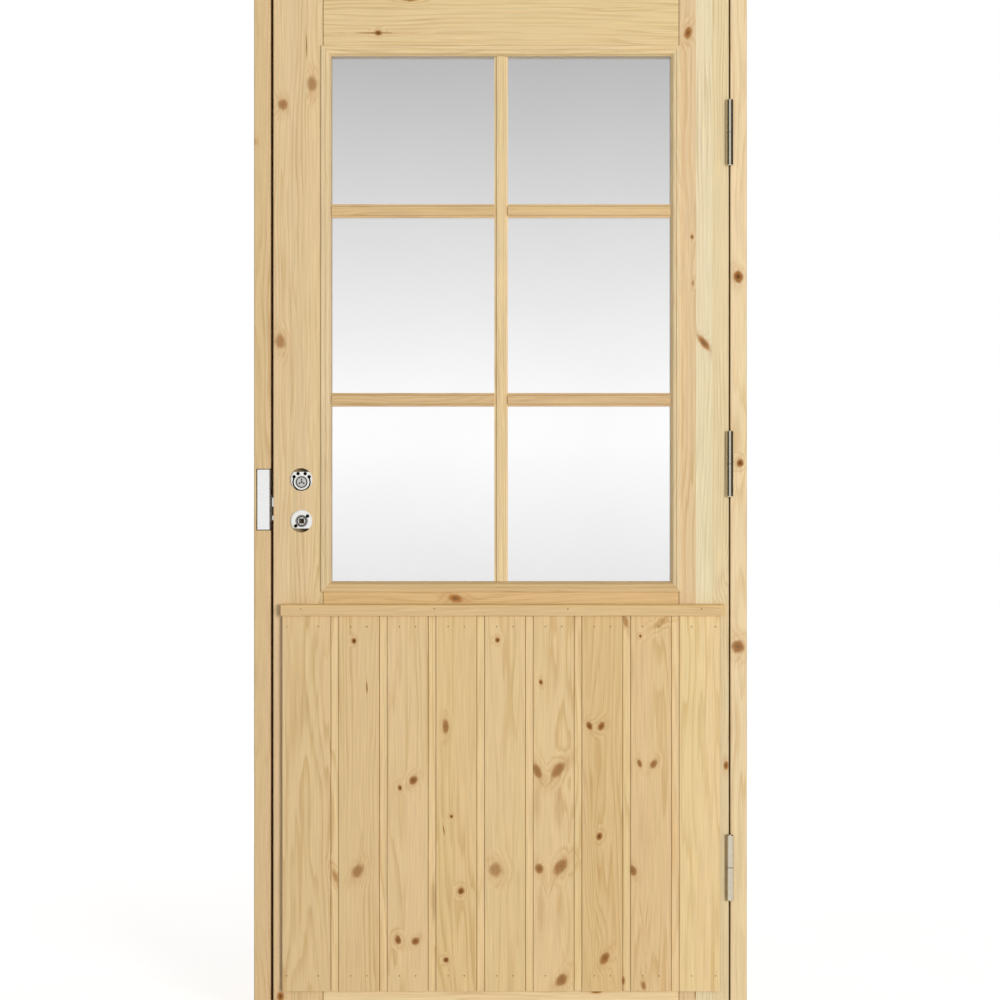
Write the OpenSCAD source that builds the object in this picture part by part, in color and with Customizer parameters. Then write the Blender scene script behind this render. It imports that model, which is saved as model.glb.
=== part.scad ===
// Pine cabin door in its frame: a glazed and boarded leaf on three lift-off hinges,
// with a mortise latch lock. Millimetres, +Z up. The outside faces -Y, and the origin
// is the middle of the threshold's underside.

/* [Frame] */
// Overall width of the frame
frame_w = 890; // [790:1:1090]
// Overall height of the frame
frame_h = 1890; // [1860:1:2090]
// Depth of the jambs, front to back
frame_d = 92; // [88:1:130]
// Thickness of the jambs and head at the stop
jamb_t = 42; // [40:1:50]
// How far the stop stands into the opening
stop_w = 12; // [11:0.5:14]
// Height of the threshold's ridge, behind the leaf
threshold_h = 25; // [25:0.5:32]
// Height of the threshold's ledge, under the leaf
ledge_h = 13; // [12:0.5:14]
// Distance of the outer wall fixings from the frame's ends
fixing_end = 150; // [120:1:170]
// Distance of the inner wall fixings from the frame's ends
fixing_inner = 640; // [560:1:700]
// Diameter of a wall fixing hole
fixing_d = 9; // [7:0.5:11]

/* [Leaf] */
// Thickness of the leaf's stiles and rails
leaf_t = 42; // [40:1:50]
// Gap between leaf and frame on the lock side
lock_gap = 5; // [4:0.5:6]
// Gap between leaf and frame on the hinge side
hinge_gap = 3; // [2.5:0.5:4]
// Gap above the leaf
head_gap = 3; // [2:0.5:5]
// Gap below the leaf
sill_gap = 5; // [4:0.5:6]
// Space between leaf and stop, which the seal fills
seal_gap = 4; // [3:0.5:6]
// Width of the stiles
stile_w = 89; // [88:1:120]
// Height of the top rail
top_rail_h = 95; // [80:1:140]
// Height of the middle rail
middle_rail_h = 95; // [85:1:140]
// Height of the bottom rail
bottom_rail_h = 140; // [110:1:200]
// Diameter of the dowels between rails and stiles
dowel_d = 12; // [8:1:14]

/* [Glazing] */
// Height of the glazed opening's lower edge
light_z0 = 782; // [640:1:860]
// Thickness of one pane
pane_t = 4; // [3:0.5:5]
// Space between the panes
pane_space = 12; // [9:1:14]
// Width of a glazing bead, seen from the front
bead_w = 18.5; // [17:0.5:24]
// How far a bead stands proud of the leaf
bead_rise = 5; // [4:0.5:7]
// Width of a glazing bar
bar_w = 24.5; // [20:0.5:30]
// Depth of a glazing bar
bar_h = 10; // [8:0.5:11]
// Visible height of the top row of lights
top_light_h = 267; // [200:1:300]

/* [Cladding] */
// Thickness of the boards
board_t = 14; // [12:1:18]
// Number of boards
board_count = 9; // [6:1:10]
// Width of the first board's raised face, at the lock side
first_face = 87; // [70:1:110]
// Width of the sunk strip between two faces
strip_w = 14.5; // [8:0.5:16]
// Depth of the sunk strip
strip_d = 3; // [2:0.5:4]
// Margin of the leaf left bare beside the boards
cladding_margin = 17; // [15:1:25]
// Bare height of the bottom rail below the boards
cladding_lift = 42.5; // [30:0.5:60]
// Height of the drip rail
drip_h = 20.5; // [18:0.5:26]
// How far the drip rail stands out from the leaf
drip_d = 24; // [22:0.5:26]
// Drop from the glazed opening to the top of the drip rail
drip_drop = 24.5; // [22:0.5:40]

/* [Hinges] */
// Height of the outer hinges' centres from the frame's ends
hinge_end = 282.5; // [240:0.5:330]
// Height of the middle hinge's centre
middle_hinge_z = 1010; // [900:1:1060]
// Length of a hinge
hinge_h = 120; // [100:1:140]
// Diameter of the knuckle
knuckle_d = 13; // [12:0.5:16]
// Diameter of the pin
pin_d = 8; // [6:0.5:9]
// Thickness of a hinge plate
plate_t = 2.5; // [2:0.5:3.5]
// Width of a hinge plate, along the edge of the leaf
plate_w = 30; // [26:1:34]

/* [Lock] */
// Height of the handle's axis above the glazed opening's lower edge
handle_rise = 125; // [118:1:180]
// Distance from handle bore to cylinder bore
bore_pitch = 75; // [72:1:80]
// Distance from the leaf's edge to the handle's axis
backset = 50; // [48:1:55]
// Diameter of the two bores that show the lock
bore_d = 41; // [36:1:43]
// Thickness of the lock case
case_t = 15; // [14:0.5:18]
// Square hole for the spindle
spindle_s = 9; // [7:0.5:9]
// Throw of the latch bolt
latch_throw = 12; // [10:0.5:13]
// Travel of the trigger bolt
trigger_throw = 8; // [6:0.5:9]
// Height of the latch bolt
latch_h = 16; // [14:0.5:16]

/* [Hidden] */
$fn = 64;
e = 0.5;
play = 0.2;
snug = 0.05;
arris = 1.5;

// Planes of the frame and the leaf
face_y = -frame_d / 2;
back_y = face_y + leaf_t;
stop_y = back_y + seal_gap;
mid_y = face_y + leaf_t / 2;
face_w = jamb_t - stop_w;
rebate_x = frame_w / 2 - face_w;
stop_x = frame_w / 2 - jamb_t;
leaf_x0 = -rebate_x + lock_gap;
leaf_x1 = rebate_x - hinge_gap;
leaf_z0 = ledge_h + sill_gap;
leaf_z1 = frame_h - face_w - head_gap;

// Glazed opening, panes and bars
light_x0 = leaf_x0 + stile_w;
light_x1 = leaf_x1 - stile_w;
light_z1 = leaf_z1 - top_rail_h;
light_h = light_z1 - light_z0;
light_cx = (light_x0 + light_x1) / 2;
unit_t = 2 * pane_t + pane_space;
bead_d = (leaf_t - unit_t) / 2;
bead_lap = 3;
bead_in = bead_w - bead_lap;
pane_edge = 4;
spacer_inset = 4;
spacer_w = 7;
bar_end = 0.6;
upper_bar_z = light_z1 - bead_in - top_light_h - bar_w / 2;
lower_bar_z = (light_z0 + bead_in + upper_bar_z - bar_w / 2) / 2;
block_l = 100;

// Boards, drip rail and nails
panel_z0 = leaf_z0 + bottom_rail_h;
panel_z1 = light_z0 - middle_rail_h;
cladding_x0 = leaf_x0 + cladding_margin;
cladding_x1 = leaf_x1 - cladding_margin;
cladding_w = cladding_x1 - cladding_x0;
board_cover = (cladding_w - first_face) / (board_count - 1);
board_face = board_cover - strip_w;
drip_lap = 8;
drip_overhang = 2;
drip_overhang_hinge = 8;
drip_z1 = light_z0 - drip_drop;
drip_z0 = drip_z1 - drip_h;
board_z0 = leaf_z0 + cladding_lift;
board_z1 = drip_z0 + drip_lap - snug;
lining_z1 = light_z0 - bead_lap - play;
tongue_l = 6;
tongue_t = board_t * 2 / 7;
tongue_y = (board_t - tongue_t) / 2;
joint_gap = 0.4;
strip_quirk = 1.2;
nail_d = 2.2;
nail_reach = (leaf_t - dowel_d) / 2 - 1;
nail_inset = 22;
outer_nail_inset = 8;
nail_end = 28;
drip_nails = 4;
drip_nail_inset = 34;

// Seal: a lip on the stop's face with a barb in a groove
seal_w = 6;
seal_t = seal_gap - 0.3;
barb_w = 2.6;
barb_l = 5;
seal_x = stop_x + 1 + seal_w / 2;
seal_z0 = leaf_z0 + e + seal_w / 2;
seal_z1 = leaf_z1 - 1.5 - seal_w / 2;

// Hinges: the axis lies over the middle of the gap, in front of the leaf
hinge_x = rebate_x - hinge_gap / 2;
hinge_y = face_y - knuckle_d / 2;
hinge_names = ["bottom", "middle", "top"];
hinge_z = [hinge_end, middle_hinge_z, frame_h - hinge_end];
washer_t = 1;
pin_fit = 0.05;
pin_end = 10;
screw_rows = [[-0.375, 0.3], [-0.16, 0.65], [0.16, 0.65], [0.375, 0.3]];

// Screws
screw_d = 4;
screw_head_d = 8;
screw_l = 25;
corner_screw_d = 5;
corner_screw_head_d = 10;
corner_screw_l = 85;

// Lock: case, forend, bolts, follower and driver
handle_x = leaf_x0 + backset;
handle_z = light_z0 + handle_rise;
cylinder_z = handle_z + bore_pitch;
driver_drop = 4.5;
driver_z = cylinder_z - driver_drop;
forend_t = 3;
forend_w = 18;
forend_l = 160;
case_wall = 1.5;
mortise_side = 1;
mortise_end = 8;
bore_skin = 6;
case_below = 13.5;
case_above = 14;
case_x0 = leaf_x0 + forend_t;
case_x1 = handle_x + 24;
case_z0 = handle_z - case_below;
case_z1 = cylinder_z + case_above;
case_y0 = mid_y - case_t / 2;
case_y1 = mid_y + case_t / 2;
forend_cz = (case_z0 + case_z1) / 2;
nose_out = 3;
latch_z = handle_z + 34;
trigger_z = handle_z + 5.5;
trigger_h = 8;
trigger_t = 8;
bolt_t = case_t - 2 * case_wall - 2 * play;
follower_r = 10;
flange_r = 11;
arm_turn = 20;
arm_r = latch_throw / (2 * sin(arm_turn));
arm_w = 2.6;
arm_tip_r = 2.4;
arm_t = 6;
tail_z0 = handle_z + arm_r - 3.5;
slot_x = handle_x + latch_throw / 2;
tail_x1 = slot_x + 6.5;
driver_r = 11.5;
boss_r = 13.6;
boss_h = 0.8;
collar_window_r = 16.6;
cam_r = 19;
pick_hole_d = 5;
pick_hole_r = 16.6;
pick_angles = [35, 67, 113, 145];
handle_bolt_d = 5.2;
handle_bolt_r = 14;
handle_bolt_turn = 40;
spring_wire = 0.5;
latch_spring_r = 3.4;
trigger_spring_r = 2.4;
trigger_guide = 12;
trigger_x1 = leaf_x0 + trigger_throw + trigger_guide;
trigger_stop_x = handle_x - flange_r - 3;

// Strike: an angle plate let into the lock jamb
strike_t = 2;
strike_bend = 3;
strike_edge = 0.8;
strike_face_w = 25;
strike_leg_w = 36;
strike_z0 = handle_z - 16.5;
strike_h = 110.5;
keep_z0 = trigger_z - trigger_h / 2 - 4;
keep_z1 = latch_z + latch_h / 2 + 5;
keep_w = 18;
keep_d = 18;
strike_screw_z = [strike_z0 + 5, keep_z1 + 12, strike_z0 + strike_h - 10];

pine = "#e0c498";
pine_deep = "#d6b685";
steel = "#b9babb";
dark_steel = "#7d7d7c";

// A box between two corners
module block(lo, hi) {
  translate(lo) cube(hi - lo);
}

// A profile in Y and Z, drawn along X from x0 to x1
module along_x(x0, x1) {
  translate([x0, 0, 0]) rotate([90, 0, 90]) linear_extrude(x1 - x0) children();
}

// A profile in X and Z, drawn along Y from y0 to y1
module along_y(y0, y1) {
  translate([0, y1, 0]) rotate([90, 0, 0]) linear_extrude(y1 - y0) children();
}

// A rectangular ring in X and Z, of the given band width about its centre line
module ring(x0, x1, z0, z1, band) {
  difference() {
    translate([x0 - band / 2, z0 - band / 2]) square([x1 - x0 + band, z1 - z0 + band]);
    translate([x0 + band / 2, z0 + band / 2]) square([x1 - x0 - band, z1 - z0 - band]);
  }
}

// A countersunk screw along +Z with its head flush at z = 0
module screw(d, head_d, l, room = 0) {
  head_h = (head_d - d) / 2;
  tip_h = d;
  difference() {
    union() {
      cylinder(h = head_h, r1 = head_d / 2 + room, r2 = d / 2 + room);
      cylinder(h = l - tip_h, r = d / 2 + room);
      translate([0, 0, l - tip_h]) cylinder(h = tip_h, r1 = d / 2 + room, r2 = 0.3 + room);
    }
    if (room == 0) translate([0, 0, -e]) cylinder(h = d / 2 + e, r = d / 2.6, $fn = 6);
  }
}

// Places along the jambs' corners where a screw enters the head or the threshold
module each_corner_screw() {
  for (side = [-1, 1], p = [[face_y / 2, frame_h - face_w / 2], [-face_y / 2, frame_h - face_w / 2],
                            [face_y / 2, ledge_h / 2], [-face_y / 2, threshold_h / 2]])
    translate([side * frame_w / 2, p[0], p[1]]) rotate([0, -side * 90, 0]) children();
}

// Holes for the four wall fixings of one jamb, with room for a screw head on the rebate side
module fixing_holes(side) {
  for (z = [fixing_end, fixing_inner, frame_h - fixing_inner, frame_h - fixing_end])
    translate([side * frame_w / 2, (face_y + stop_y) / 2, z]) rotate([0, -side * 90, 0]) {
      translate([0, 0, -e]) cylinder(h = face_w + 2 * e, d = fixing_d);
      translate([0, 0, face_w - 8]) cylinder(h = 8 + e, d = fixing_d + 8);
    }
}

// The groove that takes the seal's barb, all round the stop
module seal_groove() {
  along_y(stop_y - e, stop_y + barb_l + play)
    ring(-seal_x, seal_x, seal_z0, seal_z1, barb_w + 2 * play);
}

// A jamb's rebated section, on the side given by its sign
module jamb_section(side) {
  mirror([side < 0 ? 1 : 0, 0])
    polygon([[frame_w / 2, face_y + arris], [frame_w / 2 - arris, face_y], [rebate_x + arris, face_y],
             [rebate_x, face_y + arris], [rebate_x, stop_y], [stop_x, stop_y],
             [stop_x, -face_y - arris], [stop_x + arris, -face_y], [frame_w / 2 - arris, -face_y],
             [frame_w / 2, -face_y - arris]]);
}

module lock_jamb() {
  color(pine) difference() {
    linear_extrude(frame_h) jamb_section(-1);
    seal_groove();
    fixing_holes(-1);
    each_corner_screw() screw(corner_screw_d, corner_screw_head_d, corner_screw_l, snug);
    strike_body(snug, strike_edge);
    block([-rebate_x - strike_t - keep_d, mid_y - keep_w / 2, keep_z0],
          [-rebate_x + e, mid_y + keep_w / 2, keep_z1]);
    each_strike_screw() screw(screw_d, screw_head_d, screw_l, snug);
  }
}

module hinge_jamb() {
  color(pine) difference() {
    linear_extrude(frame_h) jamb_section(1);
    seal_groove();
    fixing_holes(1);
    each_corner_screw() screw(corner_screw_d, corner_screw_head_d, corner_screw_l, snug);
    for (z = hinge_z) {
      block([rebate_x - e, face_y - e, z - hinge_h / 2 - snug],
            [rebate_x + plate_t + snug, face_y + plate_w + snug, z + hinge_h / 2 + snug]);
      each_hinge_screw(z, 1) screw(screw_d, screw_head_d, screw_l, snug);
    }
  }
}

module head_jamb() {
  color(pine) difference() {
    union() {
      block([-rebate_x, face_y, frame_h - face_w], [rebate_x, stop_y, frame_h]);
      block([-stop_x, stop_y, frame_h - jamb_t], [stop_x, -face_y, frame_h]);
    }
    seal_groove();
    each_corner_screw() screw(corner_screw_d, corner_screw_head_d, corner_screw_l, snug);
  }
}

// The ledge slopes outwards, and the ridge's inner edge is eased for feet
module threshold() {
  ledge_fall = 2;
  ridge_ease = 5;
  color("#c9a56c") difference() {
    union() {
      along_x(-rebate_x, rebate_x)
        polygon([[face_y, 0], [stop_y, 0], [stop_y, ledge_h], [face_y, ledge_h - ledge_fall]]);
      along_x(-stop_x, stop_x)
        polygon([[stop_y, 0], [-face_y, 0], [-face_y, threshold_h - ridge_ease],
                 [-face_y - ridge_ease, threshold_h], [stop_y, threshold_h]]);
    }
    seal_groove();
    each_corner_screw() screw(corner_screw_d, corner_screw_head_d, corner_screw_l, snug);
  }
}

module weather_seal() {
  lip_round = 1;
  color("#4b3a2a") union() {
    along_y(stop_y - seal_t + lip_round, stop_y) ring(-seal_x, seal_x, seal_z0, seal_z1, seal_w);
    along_y(stop_y - seal_t, stop_y)
      ring(-seal_x, seal_x, seal_z0, seal_z1, seal_w - 2 * lip_round);
    along_y(stop_y - e, stop_y + barb_l) ring(-seal_x, seal_x, seal_z0, seal_z1, barb_w);
  }
}

module frame_corner_screws() {
  color(dark_steel) each_corner_screw() screw(corner_screw_d, corner_screw_head_d, corner_screw_l);
}

// The strike's angle: a flange on the jamb's face and a leg in the rebate
module strike_body(room = 0, edge = 0) {
  difference() {
    block([-rebate_x - strike_face_w - edge, face_y - (room > 0 ? e : 0), strike_z0 - edge],
          [-rebate_x + (room > 0 ? e : 0), face_y + strike_leg_w + edge, strike_z0 + strike_h + edge]);
    block([-rebate_x - strike_face_w - edge - e, face_y + strike_t + room, strike_z0 - edge - e],
          [-rebate_x - strike_t - room, face_y + strike_leg_w + edge + e, strike_z0 + strike_h + edge + e]);
  }
}

module each_strike_screw() {
  for (z = strike_screw_z) translate([-rebate_x, mid_y, z]) rotate([0, -90, 0]) children();
}

module strike_plate() {
  color(steel) difference() {
    strike_body();
    translate([-rebate_x - strike_bend, face_y + strike_bend, strike_z0 - e])
      linear_extrude(strike_h + 2 * e)
      difference() {
        translate([0, -strike_bend - e]) square(strike_bend + e);
        circle(strike_bend);
      }
    block([-rebate_x - strike_t - e, mid_y - keep_w / 2, keep_z0],
          [-rebate_x + e, mid_y + keep_w / 2, keep_z1]);
    each_strike_screw() screw(screw_d, screw_head_d, screw_l, snug);
  }
}

// The four screws of one hinge plate, on the jamb (side 1) or on the leaf's edge (side -1)
module each_hinge_screw(z, side) {
  for (p = screw_rows)
    translate([side > 0 ? rebate_x : leaf_x1, face_y + p[1] * plate_w, z + p[0] * hinge_h])
      rotate([0, side * 90, 0]) children();
}

module frame_hardware_screws() {
  color(steel) {
    each_strike_screw() screw(screw_d, screw_head_d, screw_l);
    for (z = hinge_z) each_hinge_screw(z, 1) screw(screw_d, screw_head_d, screw_l);
  }
}

module leaf_hardware_screws() {
  color(steel) {
    each_forend_screw() screw(screw_d, screw_head_d, screw_l);
    for (z = hinge_z) each_hinge_screw(z, -1) screw(screw_d, screw_head_d, screw_l);
  }
}

// A knuckle from z0 up to z1, its rim rounded at the bottom if down and at the top if not
module knuckle(z0, z1, down) {
  dome = knuckle_d / 6;
  flip = down ? 0 : 1;
  translate([hinge_x, hinge_y, down ? z0 : z1]) mirror([0, 0, flip]) rotate_extrude() union() {
    translate([0, dome]) square([knuckle_d / 2, z1 - z0 - dome]);
    square([knuckle_d / 2 - dome, z1 - z0]);
    translate([knuckle_d / 2 - dome, dome]) circle(dome);
  }
}

// One flag of a lift-off hinge: a screwed plate, a neck and half of the knuckle.
// Side 1 is the jamb's flag with the lower knuckle, side -1 is the leaf's with the upper.
module hinge_flag(z, side) {
  x0 = side > 0 ? rebate_x : leaf_x1 - plate_t;
  room = knuckle_d / 2 + 0.7;
  half = hinge_h / 2;
  z0 = side > 0 ? z - half : z + washer_t / 2 + 0.1;
  z1 = side > 0 ? z - washer_t / 2 : z + half;
  color(steel) difference() {
    union() {
      block([x0, hinge_y + room, z - half], [x0 + plate_t, face_y + plate_w, z + half]);
      block([x0, hinge_y, z0], [x0 + plate_t, hinge_y + room, z1]);
      knuckle(z0, z1, side > 0);
    }
    translate([hinge_x, hinge_y, side > 0 ? z0 + pin_end : z0 - e])
      cylinder(h = z1 - z0 - pin_end + e, r = pin_d / 2 + pin_fit);
    each_hinge_screw(z, side) screw(screw_d, screw_head_d, screw_l, snug);
  }
}

module hinge_pins() {
  tip = 1;
  l = hinge_h - 2 * pin_end - play;
  color(dark_steel) for (z = hinge_z) translate([hinge_x, hinge_y, z - hinge_h / 2 + pin_end]) {
    cylinder(h = l - tip, d = pin_d);
    translate([0, 0, l - tip]) cylinder(h = tip, d1 = pin_d, d2 = pin_d - 2 * tip);
  }
}

module hinge_washers() {
  color("#d8d2c4") for (z = hinge_z) translate([hinge_x, hinge_y, z - washer_t / 2]) difference() {
    cylinder(h = washer_t, d = knuckle_d - 1);
    translate([0, 0, -e]) cylinder(h = washer_t + 2 * e, d = pin_d + 2 * pin_fit);
  }
}

// Dowels in both ends of every rail, centred on the shoulder
module each_dowel() {
  for (x = [light_x0, light_x1], r = [[leaf_z1 - top_rail_h, top_rail_h],
                                     [light_z0 - middle_rail_h, middle_rail_h], [leaf_z0, bottom_rail_h]],
       f = [0.25, 0.75])
    translate([x, mid_y, r[0] + f * r[1]]) rotate([0, 90, 0]) children();
}

module dowel(room = 0) {
  dowel_l = 100;
  cylinder(h = dowel_l + 2 * room, d = dowel_d + 2 * room, center = true);
}

module rail_dowels() {
  color(pine_deep) each_dowel() dowel();
}

// A stile's section with eased outer edges, outside edge at x = 0
module stile_section() {
  polygon([[0, face_y + arris], [arris, face_y], [stile_w, face_y], [stile_w, back_y],
           [arris, back_y], [0, back_y - arris]]);
}

module lock_stile() {
  color(pine) difference() {
    translate([leaf_x0, 0, leaf_z0]) linear_extrude(leaf_z1 - leaf_z0) stile_section();
    each_dowel() dowel(snug);
    each_nail() nail(board_t, snug);
    each_drip_nail() nail(drip_d, snug);
    block([leaf_x0 - e, case_y0 - mortise_side, case_z0 - mortise_end],
          [case_x1 + mortise_side, case_y1 + mortise_side, case_z1 + mortise_end]);
    block([leaf_x0 - e, mid_y - forend_w / 2 - snug, forend_cz - forend_l / 2 - snug],
          [leaf_x0 + forend_t + snug, mid_y + forend_w / 2 + snug, forend_cz + forend_l / 2 + snug]);
    each_forend_screw() screw(screw_d, screw_head_d, screw_l, snug);
    for (z = [handle_z, cylinder_z])
      translate([handle_x, face_y - e, z]) rotate([-90, 0, 0])
        cylinder(h = leaf_t - bore_skin + e, d = bore_d);
  }
}

module hinge_stile() {
  color(pine) difference() {
    translate([leaf_x1, 0, leaf_z0]) mirror([1, 0, 0]) linear_extrude(leaf_z1 - leaf_z0) stile_section();
    each_dowel() dowel(snug);
    each_nail() nail(board_t, snug);
    each_drip_nail() nail(drip_d, snug);
    for (z = hinge_z) {
      block([leaf_x1 - plate_t - snug, face_y - e, z - hinge_h / 2 - snug],
            [leaf_x1 + e, face_y + plate_w + snug, z + hinge_h / 2 + snug]);
      each_hinge_screw(z, -1) screw(screw_d, screw_head_d, screw_l, snug);
    }
  }
}

module rail(z0, z1) {
  color(pine) difference() {
    block([light_x0, face_y, z0], [light_x1, back_y, z1]);
    each_dowel() dowel(snug);
    each_nail() nail(board_t, snug);
    each_drip_nail() nail(drip_d, snug);
  }
}

// One pane of the sealed unit, its outer face at y
module pane(y) {
  color("#dfe6e8", 0.35)
    block([light_x0 + pane_edge, y, light_z0 + pane_edge],
          [light_x1 - pane_edge, y + pane_t, light_z1 - pane_edge]);
}

module pane_spacer() {
  inset = pane_edge + spacer_inset + spacer_w / 2;
  color("#c8cacc") along_y(face_y + bead_d + pane_t, face_y + bead_d + pane_t + pane_space)
    ring(light_x0 + inset, light_x1 - inset, light_z0 + inset, light_z1 - inset, spacer_w);
}

module setting_blocks() {
  color("#3d4a55") for (f = [0.25, 0.75])
    translate([light_x0 + f * (light_x1 - light_x0) - block_l / 2, face_y + bead_d, light_z0])
      cube([block_l, unit_t, pane_edge]);
}

// A bead's moulded section: lip over the leaf, flat, quirk and ovolo down to the glass.
// Its first axis points into the leaf, and its second from the outer edge towards the glass.
module bead_section() {
  flat = 8;
  quirk = 1;
  toe = 1.5;
  ovolo = bead_w - flat - quirk - toe;
  drop = ovolo + quirk - bead_rise;
  difference() {
    polygon([[0, 0], [1 - bead_rise, 0], [-bead_rise, 1], [-bead_rise, flat], [2 * quirk - bead_rise, flat],
             [2 * quirk - bead_rise, flat + quirk], [drop - ovolo, flat + quirk], [drop - ovolo, bead_w],
             [bead_d, bead_w], [bead_d, bead_lap], [0, bead_lap]]);
    difference() {
      translate([drop - ovolo - e, flat + quirk]) square([ovolo + e, ovolo + toe + e]);
      translate([drop, flat + quirk]) circle(ovolo);
    }
  }
}

// A bead along X with mitred ends, its outer edge on the X axis and its lip at y = 0
module bead(l) {
  intersection() {
    along_x(0, l) bead_section();
    along_y(-bead_rise - e, bead_d + e) polygon([[0, 0], [l, 0], [l - bead_w, bead_w], [bead_w, bead_w]]);
  }
}

// The four beads of one face, by side name
module placed_bead(side) {
  x0 = light_x0 - bead_lap;
  x1 = light_x1 + bead_lap;
  z0 = light_z0 - bead_lap;
  z1 = light_z1 + bead_lap;
  if (side == "bottom") translate([x0, 0, z0]) bead(x1 - x0);
  if (side == "top") translate([x0, 0, z1]) mirror([0, 0, 1]) bead(x1 - x0);
  if (side == "lock_side") translate([x0, 0, z0]) mirror([1, 0, 0]) rotate([0, -90, 0]) bead(z1 - z0);
  if (side == "hinge_side") translate([x1, 0, z0]) rotate([0, -90, 0]) bead(z1 - z0);
}

module outer_bead(side) {
  color(pine) translate([0, face_y, 0]) placed_bead(side);
}

module inner_bead(side) {
  color(pine) translate([0, back_y, 0]) mirror([0, 1, 0]) placed_bead(side);
}

// A glazing bar's section: square at the glass, with hollow shoulders up to a narrower flat.
// Its first axis points outwards from the glass.
module bar_section() {
  shoulder = bar_h / 2;
  quirk = 0.8;
  difference() {
    translate([0, -bar_w / 2]) square([bar_h, bar_w]);
    for (s = [-1, 1]) {
      translate([bar_h, s * bar_w / 2]) circle(shoulder);
      translate([bar_h - quirk, s * bar_w / 6 - quirk / 2]) square([quirk + e, quirk]);
    }
  }
}

// Where the bars cross they are halved into each other
module glazing_bar_upright() {
  y = face_y + bead_d;
  color(pine) difference() {
    translate([light_cx, y, light_z0 + bead_in + bar_end]) rotate([0, 0, -90])
      linear_extrude(light_h - 2 * bead_in - 2 * bar_end) bar_section();
    for (z = [upper_bar_z, lower_bar_z])
      block([light_cx - bar_w, y - bar_h / 2, z - bar_w / 2 - snug],
            [light_cx + bar_w, y + e, z + bar_w / 2 + snug]);
  }
}

module glazing_bar_cross(z) {
  y = face_y + bead_d;
  color(pine) difference() {
    translate([0, y, z]) mirror([0, 1, 0])
      along_x(light_x0 + bead_in + bar_end, light_x1 - bead_in - bar_end) bar_section();
    block([light_cx - bar_w / 2 - snug, y - bar_h - e, z - bar_w],
          [light_cx + bar_w / 2 + snug, y - bar_h / 2, z + bar_w]);
  }
}

// Left edge of board i's face, counted from 1 at the lock side
function face_x(i) = i == 1 ? cladding_x0 : cladding_x0 + first_face + strip_w + (i - 2) * board_cover;
function face_width(i) = i == 1 ? first_face : board_face;

// A board's section: raised face, sunk strip and tongue, with a groove on its other edge.
// The face is at y = 0 and the back at y = board_t.
module board_section(i) {
  w = face_width(i);
  x1 = w + strip_w - joint_gap;
  difference() {
    union() {
      polygon([[0, 1], [1, 0], [w - 1, 0], [w, 1], [w, board_t], [0, board_t]]);
      if (i < board_count) {
        translate([w - e, strip_d]) square([x1 - w + e, board_t - strip_d]);
        translate([x1 - e, tongue_y]) square([tongue_l + e, tongue_t]);
      }
    }
    if (i < board_count) translate([w, strip_d - e]) square([strip_quirk, strip_quirk + e]);
    if (i > 1) translate([-e, tongue_y - play]) square([tongue_l + e, tongue_t + 2 * play]);
  }
}

module cladding_board(i) {
  color(pine_deep) difference() {
    translate([face_x(i), face_y - board_t, board_z0]) linear_extrude(board_z1 - board_z0) board_section(i);
    each_nail() nail(board_t, snug);
  }
}

// The inside has the same boards, nailed unseen through their tongues
module lining_boards() {
  color(pine_deep) for (i = [1 : board_count])
    translate([face_x(i), back_y + board_t, board_z0]) mirror([0, 1, 0])
      linear_extrude(lining_z1 - board_z0) board_section(i);
}

// A round nail driven along +Y through the given cover into the leaf, its head at y = 0
module nail(cover, room = 0) {
  rotate([-90, 0, 0]) cylinder(h = cover + nail_reach + room, d = nail_d + 2 * room);
}

// Two nails across a board; the outermost ones stand close to the cladding's edges
function nail_xs(i) = [i == 1 ? outer_nail_inset : nail_inset,
                       face_width(i) - (i == board_count ? outer_nail_inset : nail_inset)];

module each_nail() {
  for (i = [1 : board_count], x = nail_xs(i), z = [board_z0 + nail_end, board_z1 - nail_end])
    translate([face_x(i) + x, face_y - board_t, z]) children();
}

module each_drip_nail() {
  x0 = cladding_x0 + drip_nail_inset;
  x1 = cladding_x1 - drip_nail_inset;
  for (k = [0 : drip_nails - 1])
    translate([x0 + k * (x1 - x0) / (drip_nails - 1), face_y - drip_d, drip_z1 - drip_lap]) children();
}

module cladding_nails() {
  color(dark_steel) {
    each_nail() nail(board_t);
    each_drip_nail() nail(drip_d);
  }
}

// The drip rail laps over the boards' tops, with a bull nose and a rounded end by the hinges
module drip_rail() {
  nose = 5;
  end_r = 10;
  x0 = cladding_x0 - drip_overhang;
  x1 = cladding_x1 + drip_overhang_hinge;
  front = face_y - drip_d;
  color(pine_deep) difference() {
    intersection() {
      along_x(x0, x1) difference() {
        union() {
          translate([front, drip_z0]) square([drip_d, drip_h - nose]);
          translate([front + nose, drip_z1 - nose]) circle(nose);
          translate([front + nose, drip_z0]) square([drip_d - nose, drip_h]);
        }
        translate([face_y - board_t - snug, drip_z0 - e]) square([board_t + e, drip_lap + e]);
      }
      translate([0, 0, drip_z0 - e]) linear_extrude(drip_h + 2 * e) union() {
        translate([x0, front]) square([x1 - x0 - end_r, drip_d]);
        translate([x0, front + end_r]) square([x1 - x0, drip_d - end_r]);
        translate([x1 - end_r, front + end_r]) circle(end_r);
      }
    }
    each_drip_nail() nail(drip_d, snug);
  }
}

module insulation_core() {
  color("#eef0f0")
    block([light_x0 + snug, face_y + snug, panel_z0 + snug],
          [light_x1 - snug, back_y - snug, panel_z1 - snug]);
}

module each_forend_screw() {
  for (s = [-1, 1])
    translate([leaf_x0, mid_y, forend_cz + s * (forend_l / 2 - 9)]) rotate([0, 90, 0]) children();
}

// A bore along Y through the case, at x and z
module case_bore(x, z, d) {
  translate([x, case_y1 + 2, z]) rotate([90, 0, 0]) cylinder(h = case_t + 4, d = d);
}

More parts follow.
